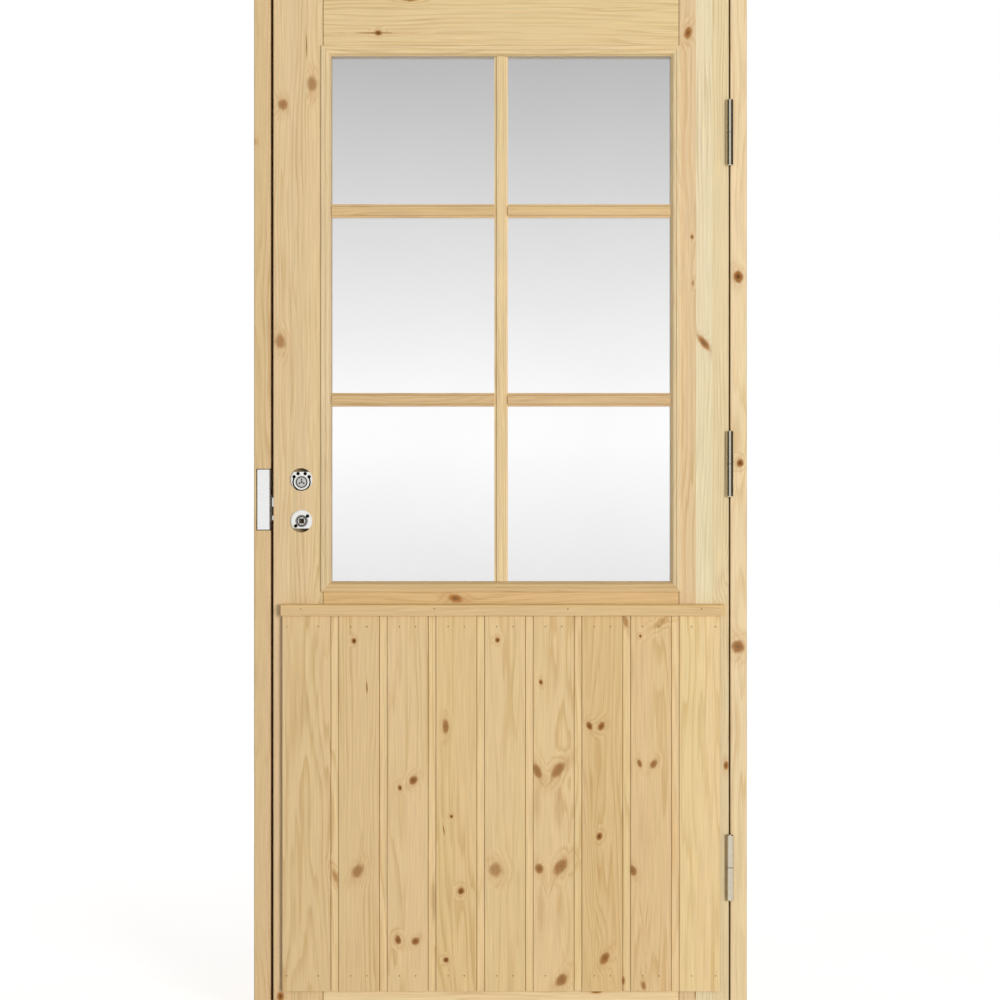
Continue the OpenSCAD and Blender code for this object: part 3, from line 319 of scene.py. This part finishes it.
def dress_pine(node, tones, grain="Z", pith=(0, 45), ring=6.0, knots=(), sunk=None, painted_light_tone=None,
               joined=None, timber="planed_pine"):
    """Dresses a CAD node in planed pine, or in a timber with that kind of grain.
    Several tones are glued lamellas, side by side across the grain.
    The pith is so far across from the piece's middle and so far behind it, and a knot is (across, along,
    half its width, half its length, lean in degrees, how dead it is). All sizes are in millimetres, in the
    part's frame. A sunk strip has a tone of its own and painted shade in the quirk beside it, the top and
    the end of a piece may carry a lighter band of painted light, and a joined rail has a thin line of that
    tone at its ends."""
    material, tree, place = new_material(f"{timber}_{node}")
    low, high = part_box(node)
    first, last = (low.x, high.x) if grain == "Z" else (low.z, high.z)
    parts = add(tree, "ShaderNodeSeparateXYZ", [place]).node.outputs
    across, along = (parts["X"], parts["Z"]) if grain == "Z" else (parts["Z"], parts["X"])
    wood = add(tree, "ShaderNodeCombineXYZ", [across, parts["Y"], along])
    width = (last - first) / len(tones)
    shift = MATERIAL_STEP * len(bpy.data.materials)
    tone = linear(tones[0])
    if len(tones) > 1:
        lamella = add(tree, "ShaderNodeMapRange", [across, first, last, 0, len(tones)])
        lamella = add(tree, "ShaderNodeMath", [lamella], operation="FLOOR")
        for index, hex_code in enumerate(tones[1:]):
            past = add(tree, "ShaderNodeMath", [lamella, index + 0.5], operation="GREATER_THAN")
            tone = add(tree, "ShaderNodeMix", {0: past, 6: tone, 7: linear(hex_code)}, data_type="RGBA")
        shift = add(tree, "ShaderNodeMath", [lamella, LAMELLA_STEP, shift], operation="MULTIPLY_ADD")
    spots = []
    if sunk:
        # Deeper than the quirk, the wood is painted darker as painted shade.
        spots += [(parts["Y"], low.y + STRIP_STARTS, sunk), (parts["Y"], low.y + QUIRK_STARTS, QUIRK_SHADE_TONE)]
    # The top and the end of the piece are painted a lighter tone: painted light on its rounded top.
    if painted_light_tone:
        spots += [(parts[axis], getattr(high, axis.lower()) - PAINTED_LIGHT_BAND, painted_light_tone) for axis in "ZX"]
    if joined:
        ends = add(tree, "ShaderNodeMath", [parts["X"], (low.x + high.x) / 2], operation="SUBTRACT")
        ends = add(tree, "ShaderNodeMath", [ends], operation="ABSOLUTE")
        spots.append((ends, (high.x - low.x) / 2 - JOINT_LINE, joined))
    for value, start, spot in spots:
        beyond = add(tree, "ShaderNodeMapRange", [value, start, start + TONE_EDGE, 0, 1])
        tone = add(tree, "ShaderNodeMix", {0: beyond, 6: tone, 7: linear(spot)}, data_type="RGBA")
    marks = {"Flow": 0.0, "Core": 0.0, "Halo": 0.0, "Heart": 0.0, "Turns": 0.0}
    for knot_across, knot_along, half_width, half_length, lean, dead in knots:
        index = int((knot_across * MM - first) / width)
        knot = add(tree, "ShaderNodeGroup", {
            "Place": wood, "Centre": (knot_across * MM, 0, knot_along * MM), "Tilt": (0, radians(lean), 0),
            "Reach": (half_width * MM, 1, half_length * MM), "Dead": dead, "Low": first + index * width,
            "High": first + (index + 1) * width, **marks}, node_tree=knot_tree)
        marks = {name: knot.node.outputs[name] for name in marks}
    heart = ((first + last) / 2 + pith[0] * MM, (low.y + high.y) / 2 + pith[1] * MM, 0)
    pine = add(tree, "ShaderNodeGroup", {"Place": wood, "Pith": heart, "Shift": shift, "Ring": ring * MM,
                                         "Tone": tone, **marks}, node_tree=pine_tree).node.outputs
    raised = add(tree, "ShaderNodeBump", {"Strength": 0.25, "Distance": 0.3 * MM, "Height": pine["Relief"]})
    surface = add(tree, "ShaderNodeBsdfPrincipled", {
        "Base Color": pine["Colour"], "Roughness": pine["Roughness"], "IOR": 1.45, "Normal": raised})
    add(tree, "ShaderNodeOutputMaterial", [surface])
    wear(node, material)


dress_pine("lock_jamb", ["#d7ba8c"], pith=(-60, 30), ring=7, knots=[
    (-446, 1592, 9, 8, 0, -0.2)])
dress_pine("hinge_jamb", ["#e6cea4"], pith=(45, 40), ring=7, knots=[
    (429.2, 1348, 10, 11.5, -10, 0.75), (432.3, 1011.7, 7, 7.5, 0, 0.7), (428.3, 680, 13, 13, 0, 0.5),
    (445, 1616, 5.5, 15, 0, 0.8)])
dress_pine("head_jamb", ["#dec197"], grain="X", pith=(-30, 30))

# Threshold
# A sill of oiled hardwood, because it is walked on. It is screwed between the jambs,
# and it is darker and tighter in the grain than the pine.
dress_pine("threshold", ["#a87c4f"], grain="X", pith=(-80, 20), ring=3, timber="oiled_hardwood")

# Frame screws
# Turned steel wood screws with a zinc finish, driven through the jambs' backs into the head and the
# threshold, and smaller ones for the hardware. The zinc is a cool satin metal, faintly cloudy from the bath.
# Grease and a painted shadow along a plate's edges share this dark tone.
GREASE_AND_SHADOW_TONE = "#1f1a14"
FILM_EDGE = 0.6
SHADOW_EDGE_FADES = 0.7
GRIT_SIZE = 0.8 * MM
CLOUD_SPREAD = (0.3, 0.7)
SMOOTHER, ROUGHER = 0.8, 1.2


def dress_metal(nodes, name, dull, bright, roughness, cloud=6.0, grit=0.08, grease=None, oily=(), edge=0):
    """Dresses CAD nodes in a metal whose finish drifts between two colours, in clouds of that size in mm.
    Dark grease may fill what lies further back than a depth, or spots (across, up, radius), and a painted
    shadow of that width may run along the left, the top and the bottom, as at the gap around a let-in plate."""
    material, tree, place = new_material(name)
    clouds = add(tree, "ShaderNodeTexNoise", {"Vector": place, "Scale": 1 / (cloud * MM), "Detail": 4})
    colour = add(tree, "ShaderNodeMix", {0: clouds, 6: linear(dull), 7: linear(bright)}, data_type="RGBA")
    parts = add(tree, "ShaderNodeSeparateXYZ", [place]).node.outputs
    films_and_shadow = []
    if grease:
        films_and_shadow.append(add(tree, "ShaderNodeMapRange", [parts["Y"], grease, grease + FILM_EDGE * MM, 0, 1]))
    flat = add(tree, "ShaderNodeCombineXYZ", {"X": parts["X"], "Z": parts["Z"]})
    for x, z, reach in oily:
        away = add(tree, "ShaderNodeVectorMath", [flat, (x * MM, 0, z * MM)], operation="DISTANCE")
        films_and_shadow.append(add(tree, "ShaderNodeMapRange", [away, (reach - FILM_EDGE) * MM, reach * MM, 1, 0]))
    # A thin painted shadow along the left, the top and the bottom, as at the gap around a let-in plate.
    if edge:
        low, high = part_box(nodes[0])
        for value, end in ((parts["X"], low.x), (parts["Z"], low.z), (parts["Z"], high.z)):
            away = add(tree, "ShaderNodeMath", [value, end], operation="SUBTRACT")
            away = add(tree, "ShaderNodeMath", [away], operation="ABSOLUTE")
            films_and_shadow.append(add(tree, "ShaderNodeMapRange", [away, edge * SHADOW_EDGE_FADES * MM, edge * MM, 1, 0]))
    for film in films_and_shadow:
        colour = add(tree, "ShaderNodeMix", {0: film, 6: colour, 7: linear(GREASE_AND_SHADOW_TONE)}, data_type="RGBA")
    rough = add(tree, "ShaderNodeMapRange", [
        clouds, *CLOUD_SPREAD, roughness * SMOOTHER, roughness * ROUGHER])
    grain = add(tree, "ShaderNodeTexNoise", {"Vector": place, "Scale": 1 / GRIT_SIZE, "Detail": 2})
    raised = add(tree, "ShaderNodeBump", {"Strength": grit, "Distance": 0.05 * MM, "Height": grain})
    surface = add(tree, "ShaderNodeBsdfPrincipled", {
        "Base Color": colour, "Metallic": 1.0, "Roughness": rough, "Normal": raised})
    add(tree, "ShaderNodeOutputMaterial", [surface])
    for node in nodes:
        wear(node, material)


dress_metal(["frame_corner_screws", "frame_hardware_screws", "leaf_hardware_screws"],
            "zinc_plated_screw_steel", "#a9aaa6", "#c9cac7", roughness=0.32)

# Weather seal
# A lip of light brown silicone rubber pressed into the stop's groove, which the leaf closes against.
# The rubber is matt, with a faint bloom. Its brown is made pale as painted light, lifting the shade in the
# deep gap beside the leaf.


def dress_matt(nodes, name, dark, pale, speck, roughness):
    """Dresses CAD nodes in a matt stuff that is speckled between two colours, specks of that size in mm."""
    material, tree, place = new_material(name)
    specks = add(tree, "ShaderNodeTexNoise", {"Vector": place, "Scale": 1 / (speck * MM), "Detail": 4})
    colour = add(tree, "ShaderNodeMix", {0: specks, 6: linear(dark), 7: linear(pale)}, data_type="RGBA")
    raised = add(tree, "ShaderNodeBump", {"Strength": 0.3, "Distance": 0.1 * speck * MM, "Height": specks})
    surface = add(tree, "ShaderNodeBsdfPrincipled", {"Base Color": colour, "Roughness": roughness,
                                                     "Normal": raised})
    add(tree, "ShaderNodeOutputMaterial", [surface])
    for node in nodes:
        wear(node, material)


# The pale brown is painted light for the shaded gap beside the leaf.
dress_matt(["weather_seal"], "light_brown_silicone_rubber", "#b98047", "#c98f55", speck=2.0, roughness=0.7)

# Strike plate
# An angle of bright zinc-plated sheet steel, let into the lock jamb and screwed,
# with two windows for the bolts. It mirrors the pale room, so it reads almost white.
# Its left, top and bottom edges carry a thin painted shadow, as of the gap around the let-in plate.
dress_metal(["strike_plate"], "bright_zinc_sheet", "#ebebea", "#f1f1f0", roughness=0.25, cloud=40, grit=0.004,
            edge=1.3)

# Hinges
# Three lift-off hinges of rolled zinc-plated steel, with a fixed pin in the lower half and a nylon washer
# between the halves. Each flap is screwed to its edge of the frame or the leaf. The rolled knuckles give a
# bright line between dark sides, the pins are ground, and the washers are matt.
HINGE_HALVES = [f"{height}_hinge_{half}_leaf" for height in ("bottom", "middle", "top")
                for half in ("frame", "door")]
dress_metal(HINGE_HALVES, "rolled_zinc_plated_steel", "#b9b19d", "#dcd4c0", roughness=0.15)
dress_metal(["hinge_pins"], "ground_steel", "#8d8c88", "#b1b0ab", roughness=0.22)
dress_matt(["hinge_washers"], "black_nylon", "#35332f", "#45423c", speck=3.0, roughness=0.45)

# Leaf frame
# Stiles glued from three pine lamellas, and three rails doweled between them. The lamellas differ a little
# in tone, and their knots end at the glue lines.
JOINT_TONE = "#8a6a3e"
dress_pine("lock_stile", ["#dec297", "#dbc094", "#dfc496"], pith=(70, 30), knots=[
    (-393, 1658.8, 11, 11, 0, 0.3), (-340.6, 1696, 10, 16, 0, 0.15), (-350.3, 1764, 1.2, 22, 0, 1.0),
    (-397.5, 1231, 11, 15, -10, 0.15), (-397, 49, 7, 9, 0, 0.7)])
dress_pine("hinge_stile", ["#dcc096", "#e3d4af", "#e0cca2"], pith=(-75, 30), knots=[
    (367, 1229, 6.5, 20, -40, 0.5), (338.5, 1788, 7.5, 12, 15, 0.6), (345.7, 1420, 3, 4, 0, 0.5),
    (347, 1337, 2.5, 6, 0, 0.0), (397, 802, 8, 26, 20, -1.3), (407, 466, 5, 9, 0, 0.6),
    (352, 54, 2, 12, 0, 0.4)])
dress_pine("top_rail", ["#dec493"], grain="X", pith=(-70, 25), ring=8, joined=JOINT_TONE, knots=[
    (1788, -221, 5, 7, 0, 1.0), (1788, -226, 1.2, 42, 0, 0.5), (1851, -163, 6, 14, 0, 0.7)])
dress_pine("middle_rail", ["#dab984"], grain="X", pith=(60, 25), ring=8, joined=JOINT_TONE, knots=[
    (767, -81, 8, 14, -12, 0.5)])
dress_pine("bottom_rail", ["#e9d1a3"], grain="X", pith=(-80, 25), ring=8, joined=JOINT_TONE, knots=[
    (58, 173, 4, 11, 0, 0.6)])
dress_pine("rail_dowels", ["#cfa877"], grain="X", pith=(0, 20), ring=2)

# Core and lining
# Coarse brown wood fibre board fills the leaf between the rails, and tongued pine boards line the inside,
# nailed through their tongues so that nothing shows.
dress_matt(["insulation_core"], "wood_fibre_board", "#9a7c55", "#c0a377", speck=4.0, roughness=0.9)
dress_pine("lining_boards", ["#d8b988", "#dabb89", "#d7b785", "#dbbc8b", "#d9b986", "#d7b888", "#dcbe8d",
                             "#d9ba88", "#dfc291"], pith=(0, 60))

# Sealed glass unit
# Two panes of clear float glass on a dull aluminium spacer bar, standing on black plastic setting blocks.
# The glass gives a clean mirror at its face and the faintest grey, and lets the light through.
material, tree, place = new_material("clear_float_glass")
film = add(tree, "ShaderNodeTexNoise", {"Vector": place, "Scale": 1 / (250 * MM), "Detail": 2})
tint = add(tree, "ShaderNodeMix", {0: film, 6: linear("#fafafb"), 7: linear("#fefefe")}, data_type="RGBA")
surface = add(tree, "ShaderNodeBsdfPrincipled", {"Base Color": tint, "Roughness": 0.0, "IOR": 1.5,
                                                 "Transmission Weight": 1.0})
rays = add(tree, "ShaderNodeLightPath").node.outputs
light = add(tree, "ShaderNodeMath", [rays["Is Shadow Ray"], rays["Is Diffuse Ray"]], operation="MAXIMUM")
clear = add(tree, "ShaderNodeBsdfTransparent", {"Color": tint})
surface = add(tree, "ShaderNodeMixShader", [light, surface, clear])
add(tree, "ShaderNodeOutputMaterial", [surface])
for pane in ("outer_pane", "inner_pane"):
    wear(pane, material)
dress_metal(["pane_spacer"], "mill_aluminium", "#9c9d9c", "#b6b7b6", roughness=0.4)
dress_matt(["setting_blocks"], "black_polypropylene", "#222323", "#2f3030", speck=2.0, roughness=0.5)

# Glazing beads
# Moulded pine strips, mitred at the corners and pinned over the glass, outside and inside.
# Each is a length from another stick, so their tones differ slightly.
BEAD_TONES = {"top": "#e0c698", "bottom": "#d4b584", "lock_side": "#dec69c", "hinge_side": "#e1c99e"}
for face in ("outer", "inner"):
    for side, tone in BEAD_TONES.items():
        dress_pine(f"{face}_bead_{side}", [tone], grain="X" if side in ("top", "bottom") else "Z",
                   pith=(40, 30), ring=4)

# Glazing bars
# One upright and two cross bars of moulded pine, halved together and laid on the outer pane,
# which they divide in six.
dress_pine("glazing_bar_upright", ["#e5cb9c"], pith=(30, 25), ring=4)
dress_pine("glazing_bar_upper", ["#d9ba89"], grain="X", pith=(-30, 25), ring=4)
dress_pine("glazing_bar_lower", ["#d5b588"], grain="X", pith=(30, 25), ring=4)

# Glazing sealant
# A small fillet of grey-brown silicone around each of the six lights, tooled into the corner of glass and
# wood. It is soft and satin, and its dark colour draws a thin dark line around the glass, a painted shadow at
# the glass edge.
SEALANT = 2.3 * MM
glass_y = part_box("outer_pane")[0].y
upright, upper, lower = (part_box("glazing_bar_" + name) for name in ("upright", "upper", "lower"))
columns = [(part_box("outer_bead_lock_side")[1].x, upright[0].x),
           (upright[1].x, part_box("outer_bead_hinge_side")[0].x)]
rows = [(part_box("outer_bead_bottom")[1].z, lower[0].z), (lower[1].z, upper[0].z),
        (upper[1].z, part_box("outer_bead_top")[0].z)]
shape = bmesh.new()
for left, right in columns:
    for bottom, top in rows:
        rim = bmesh.ops.create_grid(shape, x_segments=1, y_segments=1, size=0.5)["verts"]
        spread = Matrix.Diagonal((right - left, top - bottom, 1, 1))
        stand = Matrix.Translation(((left + right) / 2, glass_y, (bottom + top) / 2)) @ Matrix.Rotation(
            radians(90), 4, "X")
        bmesh.ops.transform(shape, matrix=stand @ spread, verts=rim)
        light = rim[0].link_faces[0]
        bmesh.ops.inset_region(shape, faces=[light], thickness=SEALANT, use_even_offset=True)
        inner = list(light.edges)
        bmesh.ops.delete(shape, geom=[light], context="FACES_ONLY")
        outer = [edge for edge in shape.edges if edge.verts[0] in rim and edge.verts[1] in rim]
        wall = bmesh.ops.extrude_edge_only(shape, edges=outer)["geom"]
        bmesh.ops.translate(shape, verts=rim, vec=(0, -SEALANT, 0))
        foot = [edge for edge in wall if isinstance(edge, bmesh.types.BMEdge)]
        bmesh.ops.bridge_loops(shape, edges=foot + inner)
bmesh.ops.recalc_face_normals(shape, faces=shape.faces)
sealant = bpy.data.objects.new("glazing_sealant_shadow_line", bpy.data.meshes.new("glazing_sealant_shadow_line"))
shape.to_mesh(sealant.data)
shape.free()
scene.collection.objects.link(sealant)
material, tree, place = new_material("grey_brown_silicone_shadow")
skin = add(tree, "ShaderNodeTexNoise", {"Vector": place, "Scale": 1 / (9 * MM), "Detail": 2})
# Its dark colour paints the shadow line around the glass.
colour = add(tree, "ShaderNodeMix", {0: skin, 6: linear("#6b6352"), 7: linear("#7d7462")}, data_type="RGBA")
surface = add(tree, "ShaderNodeBsdfPrincipled", {"Base Color": colour, "Roughness": 0.4, "IOR": 1.41})
add(tree, "ShaderNodeOutputMaterial", [surface])
sealant.data.materials.append(material)
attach(sealant, "leaf")

# Lock
# A mortise lock, screwed into the stile's edge: a pressed steel case and cover, a forend, sprung bolts, and
# the follower and driver that show through two round bores. The cover is bright nickel with oil in its holes,
# the case is oiled black, the follower and the driver are greased, and the bolts are polished.
LOCK_X, DRIVER_Z, FOLLOWER_Z = -360, 977.5, 907
SQUARE_HOLE_OIL = 11.4
WIPED_FACE = 0.3 * MM


def holes_around(z, radius, reach, turns):
    """Oily holes of that reach on a circle in the lock, at those turns in degrees."""
    return [(LOCK_X + radius * cos(radians(turn)), z + radius * sin(radians(turn)), reach) for turn in turns]


DRIVER_HOLES = holes_around(DRIVER_Z, radius=16.6, reach=3.5, turns=(35, 67, 113, 145))
FOLLOWER_HOLES = holes_around(FOLLOWER_Z, radius=14, reach=3.6, turns=(40, 220))
dress_metal(["lock_cover", "lock_forend"], "bright_nickel_sheet", "#e6e5e1", "#f5f4f1", roughness=0.24,
            grit=0.02, oily=DRIVER_HOLES + FOLLOWER_HOLES + [(LOCK_X, FOLLOWER_Z, SQUARE_HOLE_OIL)])
dress_metal(["lock_case"], "oiled_black_sheet", "#1d1b18", "#2e2b26", roughness=0.5)
for node in ("handle_follower", "cylinder_driver"):
    dress_metal([node], "greased_sintered_steel_" + node, "#b5b4af", "#d6d5d0", roughness=0.3, cloud=2,
                grease=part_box(node)[0].y + WIPED_FACE)
dress_metal(["latch_bolt", "trigger_bolt"], "polished_nickel", "#eceae6", "#f8f7f4", roughness=0.08,
            grit=0.01)
dress_metal(["latch_spring", "trigger_spring"], "drawn_spring_steel", "#70706d", "#8f8e8a", roughness=0.3,
            cloud=2)

# Cladding boards
# Nine tongued and grooved pine boards nailed over the lower half, each with a sunk strip beside its face.
# Their knots are the richest on the door, some in leaning pairs. A board is (tone, pith, ring, knots).
BOARDS = [
    ("#dbbe8f", (-15, 40), 9, [(-298, 268, 5, 15, -20, 0.0)]),
    ("#dabd8d", (60, 40), 7, [(-263.5, 691.3, 4.4, 5, 0, 1.0), (-240.5, 607.4, 1.2, 11, -3, 1.0),
                              (-257, 277, 11, 15, 30, 0.25)]),
    ("#ddc091", (-40, 55), 8, [(-156.6, 440.4, 7, 9.5, 35, 0.6), (-181, 427, 4, 5.5, -10, 0.75),
                               (-184.1, 153, 6, 9, -15, 0.6), (-153, 150.7, 7, 8, 40, 0.6),
                               (-121, 225, 6, 48, 0, -0.5)]),
    ("#dcbe8c", (45, 40), 9, [(-98.8, 537.9, 6.3, 13.5, -5, 0.4), (-88.4, 375.4, 3.4, 3.6, 0, 1.0),
                              (-102, 350, 1.1, 9, -8, 0.9), (-70.8, 241, 6, 7, 25, 0.8),
                              (-97.9, 117.3, 5, 5, 0, 1.0)]),
    ("#ddc190", (10, 60), 9, [(-5.4, 693, 4.6, 5, 0, 1.0), (-9, 279.3, 13, 14.5, -30, 0.1)]),
    ("#dec191", (0, 40), 8, [(72.6, 617.3, 3.6, 5, -15, 0.8), (65.9, 457.6, 8, 17, -25, 0.4),
                             (103.8, 458.5, 10, 19.5, 38, 0.35), (69.5, 281.6, 8, 10.5, -20, 0.5),
                             (108.3, 285.2, 11, 18, 35, 0.35), (109.7, 80.8, 10, 14.5, 40, 0.4),
                             (74, 436, 1.6, 13, -32, -0.5), (89.4, 437, 1.6, 13, 35, -0.5),
                             (78.5, 250, 1.4, 24, -17, -0.5), (93, 250, 1.4, 24, 17, -0.5),
                             (66, 400, 8, 46, 0, -0.75), (104, 392, 10, 52, 0, -0.65),
                             (72, 205, 9, 56, 0, -0.7), (108, 215, 9, 48, 0, -1.0)]),
    ("#d8b986", (-55, 40), 7, [(160.2, 538.4, 5.6, 8, -20, 0.65), (181.4, 538, 6.5, 9, 25, 0.65),
                               (177.8, 339.3, 5.3, 8, 15, 0.75), (187.7, 120.5, 8, 13, 30, 0.5),
                               (225, 727, 5, 14, -15, 0.1), (221, 79.4, 3.5, 9, 0, 0.4),
                               (172, 440, 20, 90, 0, -1.4), (178, 270, 8, 60, 0, -1.2)]),
    ("#dcbd8d", (5, 30), 8, [(250.5, 470.7, 4.2, 8, -15, 0.5), (275.7, 469.8, 6, 9.5, 35, 0.45),
                             (238, 278.4, 7.5, 11, -20, 0.45), (257.7, 70.8, 4.3, 8.5, -10, 0.3),
                             (251.8, 700, 2.6, 2.8, 0, 1.0), (288, 724, 6, 20, 55, -0.45),
                             (254.5, 192, 1.3, 36, -7, -0.6), (262.5, 192, 1.3, 36, 6, -0.6),
                             (258, 340, 22, 90, 0, -1.4)]),
    ("#e4c996", (40, 50), 10, []),
]
# Each board's quirk and deeper faces get painted shade.
STRIP_TONE = "#e3c796"
for index, (tone, pith, ring, knots) in enumerate(BOARDS, 1):
    dress_pine(f"cladding_board_{index}", [tone], pith=pith, ring=ring, knots=knots, sunk=STRIP_TONE)

# Drip rail
# A pine rail with a rounded top, nailed over the boards' upper ends so that rain drips clear of them.
# Its top and its end by the hinges are painted a lighter, yellower tone, a painted light on the rounded top.
dress_pine("drip_rail", ["#d7b888"], grain="X", pith=(40, 30), ring=5, painted_light_tone="#e0bd83")

# Nails
# Round steel nails, driven flush, two at each end of a board and a few along the drip rail.
# Their heads have dulled to brown.
dress_metal(["cladding_nails"], "dulled_nail_steel", "#5d4a33", "#7b6a52", roughness=0.5, cloud=2)
